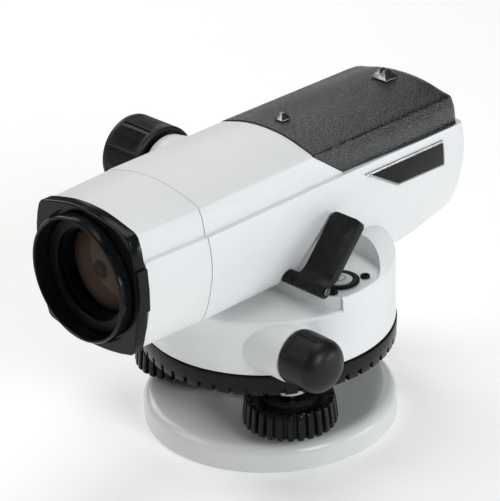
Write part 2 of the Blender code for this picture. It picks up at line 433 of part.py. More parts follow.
# -------------------------------------------------------------- circular vial
vx, vy = VIAL
turned("vial_cup", [(0, 76.3), (VIAL_R, 76.3), (VIAL_R, 77.1), (VIAL_R - 0.4, 77.4), (5.7, 77.4), (5.5, 76.9), (0, 76.9)], "Z", (vx, vy, 0), ANODISED, alidade, (vx, vy, 76.3), seg=28)
turned("vial_glass", [(0, 77.2), (5.1, 77.2), (5.1, 77.5), (3.0, 77.8), (0, 77.9)], "Z", (vx, vy, 0), GLASS, alidade, (vx, vy, 77.2), seg=24)
for k, a in enumerate(VIAL_SCREW_ANGLES):
    sx, sy = vx + VIAL_SCREW_PCR * math.cos(math.radians(a)), vy + VIAL_SCREW_PCR * math.sin(math.radians(a))
    turned(f"vial_screw_{k + 1}", [(0, 76.3), (2.0, 76.3), (2.0, 77.1), (1.8, 77.4), (0.95, 77.4), (0.9, 76.8), (0, 76.8)], "Z", (sx, sy, 0), BLACK, alidade, (sx, sy, 76.3), seg=18)

# -------------------------------------------------------------- folding mirror
turn = MIRROR_TILT
hx0, hx1 = 33.6, 49.5
frame = prism("mirror_frame", [(HINGE_Y - 0.3, HINGE_Z), (HINGE_Y + 3.0, HINGE_Z - 1.9), (HINGE_Y + 6.4, HINGE_Z - 3.6), (HINGE_Y + MIRROR_LEN, HINGE_Z - 3.6), (HINGE_Y + MIRROR_LEN, HINGE_Z + 0.3), (HINGE_Y, HINGE_Z + 0.3)], "X", hx0 + 0.5, hx1, BLACK, mirror, (0, HINGE_Y, HINGE_Z), 0.0)
combine(frame, "DIFFERENCE", box("cut", (hx0 + 2.2, HINGE_Y + 8.0, HINGE_Z - 5.0), (hx1 - 1.7, HINGE_Y + MIRROR_LEN - 1.8, HINGE_Z - 2.2)))
rotated(frame, "X", (0, HINGE_Y, HINGE_Z), turn)
combine(frame, "UNION", turned("barrel", [(0, hx0), (HINGE_R, hx0), (HINGE_R, hx1), (0, hx1)], "X", (0, HINGE_Y, HINGE_Z), seg=18))
combine(frame, "DIFFERENCE", turned("cut", [(0, 20), (1.25, 20), (1.25, 60), (0, 60)], "X", (0, HINGE_Y, HINGE_Z), seg=16))
glass = box("mirror_glass", (hx0 + 2.5, HINGE_Y + 8.3, HINGE_Z - 3.4), (hx1 - 2.0, HINGE_Y + MIRROR_LEN - 2.1, HINGE_Z - 2.5), SILVERED, mirror, (0, HINGE_Y, HINGE_Z))
rotated(glass, "X", (0, HINGE_Y, HINGE_Z), turn)
turned("mirror_pin", [(0, 30.6), (0.95, 30.6), (0.95, 49.8), (1.7, 49.8), (1.7, 50.3), (0, 50.3)], "X", (0, HINGE_Y, HINGE_Z), STEEL, alidade, (0, HINGE_Y, HINGE_Z), seg=16)
bracket = turned("mirror_bracket", [(0, 26.0), (HINGE_R, 26.0), (HINGE_R, 33.2), (0, 33.2)], "X", (0, HINGE_Y, HINGE_Z), BLACK, alidade, (30.0, HINGE_Y, 76.3), seg=18)
combine(bracket, "UNION", box("foot", (27.5, -15.2, 76.3), (33.2, -12.0, 79.0)))
combine(bracket, "DIFFERENCE", loft("cut", [ring_at(-40.0, grow=0.35), ring_at(10.0, grow=0.35)]))
combine(bracket, "DIFFERENCE", turned("cut", [(0, 20), (1.25, 20), (1.25, 60), (0, 60)], "X", (0, HINGE_Y, HINGE_Z), seg=16))
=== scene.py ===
import json
import math

import bmesh
import bpy
from mathutils import Matrix, Vector


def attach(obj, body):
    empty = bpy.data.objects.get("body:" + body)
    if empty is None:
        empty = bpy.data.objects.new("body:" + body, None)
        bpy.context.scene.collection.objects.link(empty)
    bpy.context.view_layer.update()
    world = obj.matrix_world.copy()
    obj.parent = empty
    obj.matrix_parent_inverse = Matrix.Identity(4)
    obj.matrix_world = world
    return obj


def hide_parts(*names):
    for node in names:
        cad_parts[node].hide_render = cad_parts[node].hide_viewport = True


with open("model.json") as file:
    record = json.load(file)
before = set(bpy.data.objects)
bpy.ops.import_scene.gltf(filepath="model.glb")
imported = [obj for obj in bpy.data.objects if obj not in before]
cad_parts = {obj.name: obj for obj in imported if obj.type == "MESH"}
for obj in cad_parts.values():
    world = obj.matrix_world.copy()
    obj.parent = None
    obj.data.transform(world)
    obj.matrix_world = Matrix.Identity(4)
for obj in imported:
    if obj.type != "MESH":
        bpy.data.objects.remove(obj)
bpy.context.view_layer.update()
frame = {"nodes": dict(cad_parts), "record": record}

MM = 0.001
NODES = frame["nodes"]
SLOTS = {row["node"]: row["material_slot"] for row in frame["record"]["subparts"]}
BODY_OF = {n: b for b, ns in frame["record"]["behaviour"]["bodies"].items() for n in ns}

# Driving sizes, in millimetres, the same as the model's.
OPTIC_Z = 101.84
FEET = [(40.7 * math.cos(math.radians(a)), 40.7 * math.sin(math.radians(a))) for a in (-33.0, -153.0, 87.0)]
TANGENT = (0.0, -33.3, 58.2)
FOCUS = (0.0, -19.0, 110.2)
VIAL = (42.4, 0.0)
HINGE_Y, HINGE_Z = -15.4, 79.8


# ------------------------------------------------------------------ materials
class Shade:
    """A Principled material with object coordinates and a few node helpers."""

    def __init__(self, name):
        self.material = bpy.data.materials.new(name)
        self.material.use_nodes = True
        self.tree = self.material.node_tree
        self.shader = self.tree.nodes["Principled BSDF"]
        self.coords = self.tree.nodes.new("ShaderNodeTexCoord").outputs["Object"]
        self.height = None

    def put(self, **values):
        for key, value in values.items():
            self.shader.inputs[key.replace("_", " ")].default_value = value
        return self

    def link(self, a, b):
        self.tree.links.new(a, b)

    def stretched(self, x, y, z):
        node = self.tree.nodes.new("ShaderNodeMapping")
        node.inputs["Scale"].default_value = (x, y, z)
        self.link(self.coords, node.inputs["Vector"])
        return node.outputs["Vector"]

    def noise(self, scale, detail=3.0, rough=0.55, vector=None, distortion=0.0):
        node = self.tree.nodes.new("ShaderNodeTexNoise")
        node.inputs["Scale"].default_value = scale
        node.inputs["Detail"].default_value = detail
        node.inputs["Roughness"].default_value = rough
        node.inputs["Distortion"].default_value = distortion
        self.link(vector or self.coords, node.inputs["Vector"])
        return node.outputs["Fac"]

    def cells(self, scale, feature="F1"):
        node = self.tree.nodes.new("ShaderNodeTexVoronoi")
        node.feature = feature
        node.inputs["Scale"].default_value = scale
        self.link(self.coords, node.inputs["Vector"])
        return node.outputs["Distance"]

    def spread(self, value, low, high, from_low=0.3, from_high=0.7):
        node = self.tree.nodes.new("ShaderNodeMapRange")
        node.inputs["From Min"].default_value = from_low
        node.inputs["From Max"].default_value = from_high
        node.inputs["To Min"].default_value = low
        node.inputs["To Max"].default_value = high
        self.link(value, node.inputs["Value"])
        return node.outputs["Result"]

    def ramp(self, value, stops):
        node = self.tree.nodes.new("ShaderNodeValToRGB")
        ramp = node.color_ramp
        while len(ramp.elements) < len(stops):
            ramp.elements.new(0.5)
        for element, (at, colour) in zip(ramp.elements, stops):
            element.position = at
            element.color = (*colour, 1.0)
        self.link(value, node.inputs["Fac"])
        return node.outputs["Color"]

    def blend(self, factor, a, b):
        node = self.tree.nodes.new("ShaderNodeMix")
        node.data_type = "RGBA"
        self.link(factor, node.inputs["Factor"])
        for socket, value in ((node.inputs[6], a), (node.inputs[7], b)):
            if isinstance(value, tuple):
                socket.default_value = (*value, 1.0)
            else:
                self.link(value, socket)
        return node.outputs[2]

    def math(self, kind, a, b=0.0):
        node = self.tree.nodes.new("ShaderNodeMath")
        node.operation = kind
        for socket, value in zip(node.inputs, (a, b)):
            if isinstance(value, (int, float)):
                socket.default_value = value
            else:
                self.link(value, socket)
        return node.outputs[0]

    def colour(self, socket):
        self.link(socket, self.shader.inputs["Base Color"])
        return self

    def roughness(self, socket):
        self.link(socket, self.shader.inputs["Roughness"])
        return self

    def bump(self, value, strength, distance):
        node = self.tree.nodes.new("ShaderNodeBump")
        node.inputs["Strength"].default_value = strength
        node.inputs["Distance"].default_value = distance
        self.link(value, node.inputs["Height"])
        if self.height is not None:
            self.link(self.height, node.inputs["Normal"])
        self.height = node.outputs["Normal"]
        self.link(self.height, self.shader.inputs["Normal"])
        return self

    def edge_lightened(self, base, edge, amount=1.0):
        """Mixes a lighter colour in along convex edges, broken up by noise."""
        point = self.tree.nodes.new("ShaderNodeNewGeometry").outputs["Pointiness"]
        mask = self.spread(point, 0.0, amount, 0.515, 0.56)
        mask = self.math("MULTIPLY", mask, self.spread(self.noise(420.0, 4.0), 0.0, 1.0, 0.42, 0.62))
        return self.blend(mask, base, edge)


def enamel(name, light, dark, rough):
    s = Shade(name)
    base = s.blend(s.spread(s.noise(22.0, 4.0), 0.0, 1.0), light, dark)
    specks = s.spread(s.noise(700.0, 2.0), 0.0, 1.0, 0.70, 0.74)
    s.colour(s.blend(specks, base, tuple(v * 0.93 for v in dark)))
    s.roughness(s.spread(s.noise(60.0, 3.0), rough - 0.035, rough + 0.045))
    s.bump(s.noise(850.0, 2.0), 0.10, 0.00012)
    s.bump(s.noise(120.0, 2.0), 0.05, 0.0004)
    s.put(Specular_IOR_Level=0.42)
    return s.material


def grained(name, light, dark, rough, scale, strength, depth=0.00012, specular=0.5):
    s = Shade(name)
    base = s.blend(s.spread(s.noise(90.0, 4.0), 0.0, 1.0), dark, light)
    # Convex edges mixed lighter, broken up by noise.
    s.colour(s.edge_lightened(base, tuple(v * 2.0 + 0.006 for v in light), 0.25))
    s.roughness(s.spread(s.noise(140.0, 3.0), rough - 0.03, rough + 0.04))
    s.bump(s.noise(scale, 4.0, 0.65), strength, depth)
    s.put(Specular_IOR_Level=specular)
    return s.material


def wrinkled(name):
    s = Shade(name)
    cells = s.cells(1350.0, "F1")
    grain = s.noise(1700.0, 3.0, 0.6)
    base = s.blend(s.spread(s.noise(60.0, 3.0), 0.0, 1.0), (0.0080, 0.0080, 0.0086), (0.0115, 0.0115, 0.0125))
    # The lighter colour on the raised cell crests is a painted highlight on the grain.
    s.colour(s.blend(s.spread(cells, 0.62, 0.0, 0.05, 0.45), base, (0.092, 0.092, 0.100)))
    s.roughness(s.spread(grain, 0.20, 0.36))
    s.bump(cells, 0.8, -0.00025)
    s.bump(grain, 0.45, 0.00010)
    s.put(Specular_IOR_Level=0.62)
    return s.material


def metal(name, colour, dark, rough, axis, scale=90.0):
    s = Shade(name)
    stretch = {"X": (0.04, 1.0, 1.0), "Y": (1.0, 0.04, 1.0), "Z": (1.0, 1.0, 0.04)}[axis]
    lines = s.noise(scale * 25.0, 3.0, 0.6, s.stretched(*stretch))
    s.colour(s.blend(s.spread(lines, 0.0, 1.0), dark, colour))
    s.roughness(s.spread(s.noise(160.0, 4.0), rough - 0.07, rough + 0.09))
    s.bump(lines, 0.25, 0.00005)
    s.put(Metallic=1.0)
    return s.material


def lens_with_painted_reflection(name):
    """Coated glass over a dark tube, drawn with painted light: the brown-pink band is painted coating reflection, and
    the dark stop at its centre and the darker rim are painted shade of the tube behind.
    """
    s = Shade(name)
    split = s.tree.nodes.new("ShaderNodeSeparateXYZ")
    s.link(s.coords, split.inputs[0])
    x = split.outputs["X"]
    z = s.math("SUBTRACT", split.outputs["Z"], OPTIC_Z * MM)
    square = s.math("ADD", s.math("MULTIPLY", x, x), s.math("MULTIPLY", z, z))
    radius = s.math("MULTIPLY", s.math("SQRT", square), 1000.0 / 20.0)
    radius = s.math("ADD", radius, s.math("MULTIPLY", s.math("SUBTRACT", s.noise(160.0, 2.0), 0.5), 0.05))
    # Painted reflection and shade by radius: dark centre, brown-pink band, darker rim.
    painted_reflection_rings = s.ramp(radius, [(0.0, (0.026, 0.018, 0.014)), (0.10, (0.010, 0.007, 0.006)), (0.18, (0.016, 0.011, 0.009)), (0.22, (0.068, 0.046, 0.034)), (0.62, (0.070, 0.047, 0.035)), (0.86, (0.042, 0.027, 0.021)), (1.0, (0.014, 0.009, 0.008))])
    s.colour(painted_reflection_rings)
    s.roughness(s.spread(s.noise(240.0, 3.0), 0.03, 0.07))
    s.put(Specular_IOR_Level=0.04, Coat_Weight=0.03, Coat_Roughness=0.02, Coat_Tint=(1.0, 0.78, 0.72, 1.0))
    return s.material


def clear(name, tint, rough=0.02):
    s = Shade(name)
    s.colour(s.blend(s.spread(s.noise(80.0, 3.0), 0.0, 1.0), tint, tuple(v * 0.96 for v in tint)))
    s.roughness(s.spread(s.noise(300.0, 3.0), rough, rough + 0.04))
    s.put(Transmission_Weight=1.0, IOR=1.5)
    return s.material


def silvered(name):
    s = Shade(name)
    s.colour(s.blend(s.spread(s.noise(70.0, 3.0), 0.0, 1.0), (0.90, 0.91, 0.91), (0.84, 0.85, 0.86)))
    s.roughness(s.spread(s.noise(180.0, 4.0), 0.02, 0.07))
    s.put(Metallic=1.0)
    return s.material


MATERIALS = {
    "white_enamel": enamel("white_enamel", (0.785, 0.80, 0.80), (0.745, 0.76, 0.76), 0.40),
    "base_enamel": enamel("base_enamel", (0.72, 0.735, 0.725), (0.68, 0.695, 0.685), 0.22),
    "black_plastic": grained("black_plastic", (0.0078, 0.0081, 0.0088), (0.0052, 0.0054, 0.0060), 0.27, 1900.0, 0.20, specular=0.15),
    "black_textured_enamel": wrinkled("black_textured_enamel"),
    "black_rubber": grained("black_rubber", (0.0115, 0.0118, 0.0130), (0.0075, 0.0075, 0.0085), 0.36, 1500.0, 0.30, 0.00012, 0.22),
    "black_anodised": grained("black_anodised", (0.0075, 0.0075, 0.0082), (0.0045, 0.0045, 0.0052), 0.34, 2600.0, 0.12, 0.00008, 0.08),
    "steel": metal("steel", (0.62, 0.62, 0.63), (0.50, 0.50, 0.51), 0.27, "Z"),
    "brass": metal("brass", (0.74, 0.56, 0.29), (0.60, 0.44, 0.22), 0.30, "Z"),
    "aluminium": metal("aluminium", (0.66, 0.66, 0.65), (0.54, 0.54, 0.53), 0.38, "Y"),
    "glass": clear("glass", (0.93, 0.95, 0.94)),
    "mirror": silvered("mirror"),
}
LENS_PAINTED_REFLECTION = lens_with_painted_reflection("lens_with_painted_reflection")
PLATE_STEEL = metal("plate_steel", (0.50, 0.50, 0.51), (0.40, 0.40, 0.41), 0.42, "X", 60.0)
SIGHT = metal("sight_metal", (0.30, 0.31, 0.32), (0.17, 0.17, 0.18), 0.24, "Y")
GLOSS_BLACK = grained("gloss_black_plastic", (0.0062, 0.0064, 0.0068), (0.0048, 0.0050, 0.0054), 0.17, 2400.0, 0.06, 0.00006, 0.16)


# -------------------------------------------------------------------- helpers
def volume(points, faces):
    total = 0.0
    for face in faces:
        a = Vector(points[face[0]])
        for i in range(1, len(face) - 1):
            total += a.dot(Vector(points[face[i]]).cross(Vector(points[face[i + 1]])))
    return total


def solid(name, points, faces, smooth=30.0):
    """A mesh object from points in mm, facing out."""
    if volume(points, faces) < 0:
        faces = [tuple(reversed(face)) for face in faces]
    mesh = bpy.data.meshes.new(name)
    mesh.from_pydata([[v * MM for v in p] for p in points], [], faces)
    mesh.update()
    obj = bpy.data.objects.new(name, mesh)
    bpy.context.scene.collection.objects.link(obj)
    soften(obj, smooth)
    return obj


def soften(obj, angle=30.0):
    obj.data.shade_smooth()
    obj.data.set_sharp_from_angle(angle=math.radians(angle))


def place(axis, centre, r, angle, h):
    c, s = r * math.cos(angle), r * math.sin(angle)
    x, y, z = centre
    if axis == "Z":
        return (x + c, y + s, z + h)
    if axis == "Y":
        return (x + c, y + h, z + s)
    return (x + h, y + c, z + s)


def turned(name, profile, axis, centre, seg=96, wave=None, angles=None, smooth=30.0, open_profile=False):
    """A closed profile of (radius, height) turned about the axis.

    wave(i, r, h, angle) may return another (r, h) for profile point i.
    """
    if angles is None:
        angles = [2 * math.pi * k / seg for k in range(seg)]
    n = len(angles)
    points, rings = [], []
    for i, (r, h) in enumerate(profile):
        if r < 1e-6:
            rings.append([len(points)])
            points.append(place(axis, centre, 0.0, 0.0, h))
            continue
        ring = []
        for a in angles:
            rr, hh = wave(i, r, h, a) if wave else (r, h)
            ring.append(len(points))
            points.append(place(axis, centre, rr, a, hh))
        rings.append(ring)
    faces = []
    for i in range(len(rings)):
        a, b = rings[i], rings[(i + 1) % len(rings)]
        if len(a) == 1 and len(b) == 1:
            continue
        for k in range(n):
            j = (k + 1) % n
            if len(a) == 1:
                faces.append((a[0], b[j], b[k]))
            elif len(b) == 1:
                faces.append((a[k], a[j], b[0]))
            else:
                faces.append((a[k], a[j], b[j], b[k]))
    return solid(name, points, faces, smooth)


def arc(cr, ch, radius, start, stop, steps=5):
    """Points of a fillet in a (radius, height) profile, angles in degrees."""
    out = []
    for k in range(steps + 1):
        a = math.radians(start + (stop - start) * k / steps)
        out.append((cr + radius * math.cos(a), ch + radius * math.sin(a)))
    return out


def prism(name, outline, axis, lo, hi, smooth=30.0):
    n = len(outline)

    def put(u, v, h):
        return {"Z": (u, v, h), "Y": (u, h, v), "X": (h, u, v)}[axis]

    points = [put(u, v, lo) for u, v in outline] + [put(u, v, hi) for u, v in outline]
    faces = [tuple(range(n)), tuple(range(2 * n - 1, n - 1, -1))]
    faces += [(k, k + n, (k + 1) % n + n, (k + 1) % n) for k in range(n)]
    return solid(name, points, faces, smooth)


def loft(name, rings, smooth=30.0):
    n = len(rings[0])
    points = [p for ring in rings for p in ring]
    faces = [tuple(range(n)), tuple(range(len(points) - 1, len(points) - n - 1, -1))]
    for i in range(len(rings) - 1):
        a, b = i * n, (i + 1) * n
        faces += [(a + k, b + k, b + (k + 1) % n, a + (k + 1) % n) for k in range(n)]
    return solid(name, points, faces, smooth)


def box(name, lo, hi):
    return prism(name, [(lo[0], lo[1]), (hi[0], lo[1]), (hi[0], hi[1]), (lo[0], hi[1])], "Z", lo[2], hi[2], 30.0)


def evaluated(obj):
    bpy.context.view_layer.update()
    graph = bpy.context.evaluated_depsgraph_get()
    mesh = bpy.data.meshes.new_from_object(obj.evaluated_get(graph))
    obj.modifiers.clear()
    old = obj.data
    obj.data = mesh
    bpy.data.meshes.remove(old)


def combine(target, operation, *tools):
    for tool in tools:
        modifier = target.modifiers.new("join", "BOOLEAN")
        modifier.operation = operation
        modifier.object = tool
        modifier.solver = "EXACT"
        evaluated(target)
        bpy.data.objects.remove(tool, do_unlink=True)
    soften(target)
    return target


def eased(obj, width, segments=2, angle=32.0):
    """Rounds the sharp edges by a real bevel of this width in mm."""
    modifier = obj.modifiers.new("ease", "BEVEL")
    modifier.width = width * MM
    modifier.segments = segments
    modifier.limit_method = "ANGLE"
    modifier.angle_limit = math.radians(angle)
    modifier.use_clamp_overlap = True
    modifier.miter_outer = "MITER_ARC"
    evaluated(obj)
    soften(obj, 40.0)
    return obj


def rotated(obj, axis, centre, degrees):
    c = Vector(centre) * MM
    obj.data.transform(Matrix.Translation(c) @ Matrix.Rotation(math.radians(degrees), 4, axis) @ Matrix.Translation(-c))
    return obj


def joined(name, *objs):
    """One object holding the meshes of several."""
    bm = bmesh.new()
    for obj in objs:
        bm.from_mesh(obj.data)
    mesh = bpy.data.meshes.new(name)
    bm.to_mesh(mesh)
    bm.free()
    for obj in objs:
        bpy.data.objects.remove(obj, do_unlink=True)
    out = bpy.data.objects.new(name, mesh)
    bpy.context.scene.collection.objects.link(out)
    soften(out)
    return out


def done(obj, body, slot, *nodes, material=None):
    obj.data.materials.clear()
    obj.data.materials.append(material or MATERIALS[slot])
    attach(obj, body)
    if nodes:
        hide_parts(*nodes)
    return obj


def through(points, steps):
    """A smooth run through the points, each span cut into steps."""
    out = []
    n = len(points)
    for i in range(n - 1):
        p1, p2 = points[i], points[i + 1]
        p0 = points[i - 1] if i else (2 * p1[0] - p2[0], 2 * p1[1] - p2[1])
        p3 = points[i + 2] if i + 2 < n else (2 * p2[0] - p1[0], 2 * p2[1] - p1[1])
        for k in range(steps):
            t = k / steps
            out.append(tuple(0.5 * (2 * b + (c - a) * t + (2 * a - 5 * b + 4 * c - d) * t * t + (3 * b - a - 3 * c + d) * t ** 3) for a, b, c, d in zip(p0, p1, p2, p3)))
    out.append(points[-1])
    return out


# --------------------------------------------------------- telescope section
def section(grow=0.0, bottom=76.35, narrow=0.0, top=0.0, fine=1):
    crown = 131.6 + top
    ledge = 115.1
    a = [(0.0, crown), (7.0, crown - 0.35), (14.0, crown - 1.4), (21.0, crown - 3.2), (25.3, 127.15 + top * 0.5)]
    b = [(25.3, 127.15 + top * 0.5), (26.1, 126.75 + top * 0.45), (26.75, 126.05 + top * 0.4), (27.15, 125.1 + top * 0.3)]
    c = [(27.15, 125.1 + top * 0.3), (28.5, 121.8), (29.3, 117.0), (29.4, ledge + 0.5)]
    d = [(31.2, ledge), (32.5, 110.0), (33.0, 103.0), (32.75, 98.4)]
    drop = bottom - 76.35
    e = [(32.55, 97.0), (30.3, 87.0 + drop * 0.3), (27.6, 80.0 + drop * 0.8), (26.0, bottom + 0.9)]
    f = [(24.9, bottom - 0.45), (18.0, bottom - 2.6), (9.0, bottom - 4.2), (0.0, bottom - 4.7)]
    half = through(a, 2 * fine)[:-1] + through(b, fine)[:-1] + through(c, fine) + through(d, fine) + through(e, fine) + through(f, fine)
    out = []
    for x, z in half:
        length = math.hypot(x, z - OPTIC_Z)
        k = (length + grow) / length
        out.append((max(0.0, x * k - narrow * x / 33.0), OPTIC_Z + (z - OPTIC_Z) * k))
    return out


def ring_at(y, **how):
    half = section(**how)
    return [(x, y, z) for x, z in half] + [(-x, y, z) for x, z in reversed(half[1:-1])]


# ------------------------------------------------------------------- the base
def thread(i, r, h, angle):
    if i in BORE:
        turn = (h / 2.309 - angle / (2 * math.pi)) % 1.0
        fade = max(0.0, min(1.0, (h - 0.6) / 0.8, (11.4 - h) / 0.8))
        return r + 0.85 * fade * (1 - abs(2 * turn - 1)), h
    return r, h


bore = [(7.25, 0.35 + 11.3 * k / 44) for k in range(45)]
outer = [(8.3, 12.0), (48.6, 12.0)] + [(49.3, 12.05)] + arc(50.0, 7.0, 5.0, 90, 0, 9)[1:] + [(55.0, 1.4)] + arc(53.9, 1.1, 1.1, 0, -90, 4)[1:] + [(8.3, 0.0)]
BORE = range(0, 45)
plate = turned("base_plate_body", bore + outer, "Z", (0, 0, 0), 144, thread)
done(plate, "base", "base_enamel", "base_plate")


def knob_ribs(i, r, h, angle):
    if r < 17.0 or i not in KNOB_SIDE:
        return r, h
    t = (angle * 28 / (2 * math.pi)) % 1.0
    u = abs(t - 0.5) * 2
    groove = max(0.0, min(1.0, (u - 0.50) / 0.22))
    groove = groove * groove * (3 - 2 * groove)
    crown = 0.18 * (1 - min(1.0, u / 0.6) ** 2)
    return r - 1.5 * groove + crown - 0.18, h


for k, (x, y) in enumerate(FEET):
    side = [(18.2, 17.5), (19.2, 17.6), (19.85, 18.1), (20.0, 18.9), (19.75, 22.0), (19.3, 26.0), (19.0, 28.6), (18.6, 29.15), (18.0, 29.2)]
    lip = [(17.1, 29.0), (16.4, 28.2), (15.6, 27.7), (13.4, 27.6), (12.7, 28.0), (12.4, 29.3), (12.1, 30.7), (11.6, 31.1), (10.7, 31.1), (10.2, 30.6), (9.8, 28.2), (3.9, 27.9), (3.7, 17.5), (10.0, 17.5)]
    KNOB_SIDE = range(0, len(side))
    piece = turned(f"foot_knob_{k + 1}_body", side + lip, "Z", (x, y, 0), wave=knob_ribs, angles=[2 * math.pi * (j + 0.5 * (j % 2 and 0)) / 448 for j in range(448)])
    done(piece, f"foot_{k + 1}", "black_plastic", f"foot_knob_{k + 1}")

    def screw_thread(i, r, h, angle):
        if abs(r - 3.4) < 0.05 and 30.5 < h < 34.3:
            turn = (h / 0.75 - angle / (2 * math.pi)) % 1.0
            return r - 0.28 * abs(2 * turn - 1), h
        return r, h

    rod = [(0.0, 12.35)] + [(2.6, 12.8), (3.6, 13.7), (3.9, 14.8), (3.9, 15.3), (3.0, 16.4), (3.0, 28.0), (3.4, 29.2)]
    rod += [(3.4, 30.4 + 4.0 * j / 40) for j in range(41)] + [(2.9, 35.0), (0.0, 35.0)]
    piece = turned(f"foot_screw_{k + 1}_body", rod, "Z", (x, y, 0), 40, screw_thread)
    done(piece, f"foot_{k + 1}", "steel", f"foot_screw_{k + 1}")

# Tribrach with its three bosses.
trib = turned("tribrach_body_piece", [(12.8, 33.0), (33.0, 33.0), (33.0, 36.4), (19.6, 36.4), (19.6, 61.0), (12.8, 61.0)], "Z", (0, 0, 0), 96)
for x, y in FEET:
    combine(trib, "UNION", turned("boss", [(0, 32.7), (8.0, 32.7), (8.0, 36.6), (0, 36.6)], "Z", (x, y, 0), 48))
for x, y in FEET:
    combine(trib, "DIFFERENCE", turned("cut", [(0, 30), (4.1, 30), (4.1, 40), (0, 40)], "Z", (x, y, 0), 40))
eased(trib, 0.5, 3)
done(trib, "tribrach_body", "base_enamel", "tribrach")

# Circle ring: smooth band with square notches round its lower edge.
period = 2 * math.pi / 48
marks = (0.0, 0.18, 0.355, 0.375, 0.50, 0.625, 0.645, 0.82)
ring_angles = [(k + m) * period + math.radians(2.4) for k in range(48) for m in marks]


def notches(i, r, h, angle):
    t = ((angle - math.radians(2.4)) / period) % 1.0
    if 0.37 < t < 0.63 and i in NOTCHED:
        return r - 1.5, h
    return r, h


ring = [(20.2, 37.0), (50.0, 37.0), (53.9, 37.0), (54.5, 37.15), (54.65, 37.4), (54.75, 39.9), (54.78, 40.05), (55.0, 44.9), (54.85, 45.4), (54.4, 45.7), (50.2, 45.7), (49.5, 45.4), (49.0, 39.4), (20.2, 39.4)]
NOTCHED = (2, 3, 4, 5)
piece = turned("circle_ring_body", ring, "Z", (0, 0, 0), wave=notches, angles=ring_angles)
done(piece, "circle", "black_plastic", "circle_ring")

# ------------------------------------------------------------- main casting
profile = [(0.0, 68.0), (54.5, 68.0), (54.5, 73.9)] + through([(54.5, 73.9), (54.3, 75.2), (53.6, 76.4), (51.6, 79.6), (49.4, 82.2), (46.4, 84.4), (42.0, 85.6), (34.0, 86.4)], 3)[1:] + [(0.0, 86.4)]
housing = turned("housing_body", profile, "Z", (0, 0, 0), 128)
front_line = through([(-52, -9.7), (-46.6, -13.1), (-40, -14.6), (-34, -15.4)], 3) + through([(34, -15.4), (40, -14.6), (46.6, -13.1), (52, -9.7)], 3)
clip = prism("clip", [(-70, 70), (-70, -9.7)] + front_line + [(70, -9.7), (70, 70)], "Z", 60, 110)
combine(housing, "INTERSECT", clip)
pocket_line = through([(53.6, 9.4), (50.8, 15.4), (46.2, 19.7), (40.7, 22.1), (36.5, 23.4)], 3)
pocket = prism("pocket", [(22, -40), (70, -40), (70, 9.0)] + pocket_line + [(22, 24.0)], "Z", 76.0, 110)
combine(housing, "DIFFERENCE", pocket)
drum = turned("drum", [(0, 46.4), (53.9, 46.4)] + arc(53.9, 47.0, 0.6, -90, 0, 3)[1:] + arc(53.1, 69.1, 1.4, 0, 90, 5) + [(0, 70.5)], "Z", (0, 0, 0), 160)
boss = turned("boss", [(0, -50)] + [(11.0, -50), (11.6, -49.7), (11.8, -49.0), (11.8, 49.0), (11.6, 49.7), (11.0, 50)] + [(0, 50)], "X", TANGENT, 64)
tele = loft("tele", [ring_at(-61.6, fine=2), ring_at(24.0, fine=2), ring_at(35.0, bottom=72.9, fine=2), ring_at(46.0, bottom=69.0, fine=2), ring_at(56.0, bottom=68.6, fine=2), ring_at(65.8, bottom=70.0, fine=2), ring_at(75.6, bottom=72.2, fine=2), ring_at(85.0, bottom=74.3, fine=2), ring_at(87.6, bottom=74.9, grow=-0.2, fine=2), ring_at(89.3, bottom=75.3, grow=-0.9, fine=2), ring_at(90.4, bottom=75.8, grow=-2.1, fine=2), ring_at(90.8, bottom=76.2, grow=-3.6, fine=2)])
focus_boss = turned("fboss", [(0, -38.6), (13.1, -38.6), (13.6, -38.3), (13.8, -37.8), (14.3, -34.0), (15.5, -27.0), (0, -27.0)], "X", FOCUS, 64)
combine(housing, "UNION", drum, boss, tele, focus_boss)
hollow = turned("cut", [(0, 40.0), (51.5, 40.0), (51.5, 66.3), (0, 66.3)], "Z", (0, 0, 0), 96)
inner = loft("cut", [ring_at(-70.0, grow=-2.6), ring_at(24.0, grow=-2.6), ring_at(86.6, grow=-2.6, bottom=77.6)])
window = prism("cut", [(1.9, 140.0), (1.9, 126.4), (16.8, 115.3), (110.0, 114.2), (110.0, 140.0)], "X", -60, 60)
shaft_hole = turned("cut", [(0, -80), (5.4, -80), (5.4, 80), (0, 80)], "X", TANGENT, 32)
focus_hole = turned("cut", [(0, -50), (6.4, -50), (6.4, -20), (0, -20)], "X", FOCUS, 32)
eye_hole = turned("cut", [(0, 80), (11.4, 80), (11.4, 100), (0, 100)], "Y", (0, 0, OPTIC_Z), 64)
combine(housing, "DIFFERENCE", hollow, inner, window, shaft_hole, focus_hole, eye_hole)
eased(housing, 0.35, 2, 30.0)
done(housing, "alidade", "white_enamel", "alidade_housing")

# Front section of the tube.
front = loft("front_body", [ring_at(-93.0, narrow=2.0, top=-0.25, grow=-0.3, fine=2), ring_at(-61.72, narrow=0.25, grow=-0.12, fine=2)])
combine(front, "DIFFERENCE", turned("cut", [(0, -100), (22.4, -100), (22.4, -50), (0, -50)], "Y", (0, 0, OPTIC_Z), 64))
done(front, "alidade", "white_enamel", "front_housing")

# ----------------------------------------------------------- objective bezel
hood_half = through([(0.0, 131.4), (7.0, 131.0), (13.0, 130.0), (19.0, 128.6), (23.9, 127.3)], 2)[:-1] + through([(23.9, 127.3), (25.2, 126.6), (26.4, 125.4)], 2)[:-1]
hood_half += [(26.4, 125.4), (27.9, 121.0), (29.0, 115.0), (29.6, 106.0), (29.5, 97.0), (28.6, 89.0), (26.8, 81.0), (25.2, 76.3), (23.6, 75.0), (17.4, 73.4), (11.0, 72.4), (5.5, 71.9), (0.0, 71.7)]


def bezel_ring(y, grow):
    out = []
    for x, z in hood_half:
        length = math.hypot(x, z - OPTIC_Z)
        k = (length + grow) / length
        out.append((x * k, OPTIC_Z + (z - OPTIC_Z) * k))
    return [(x, y, z) for x, z in out] + [(-x, y, z) for x, z in reversed(out[1:-1])]


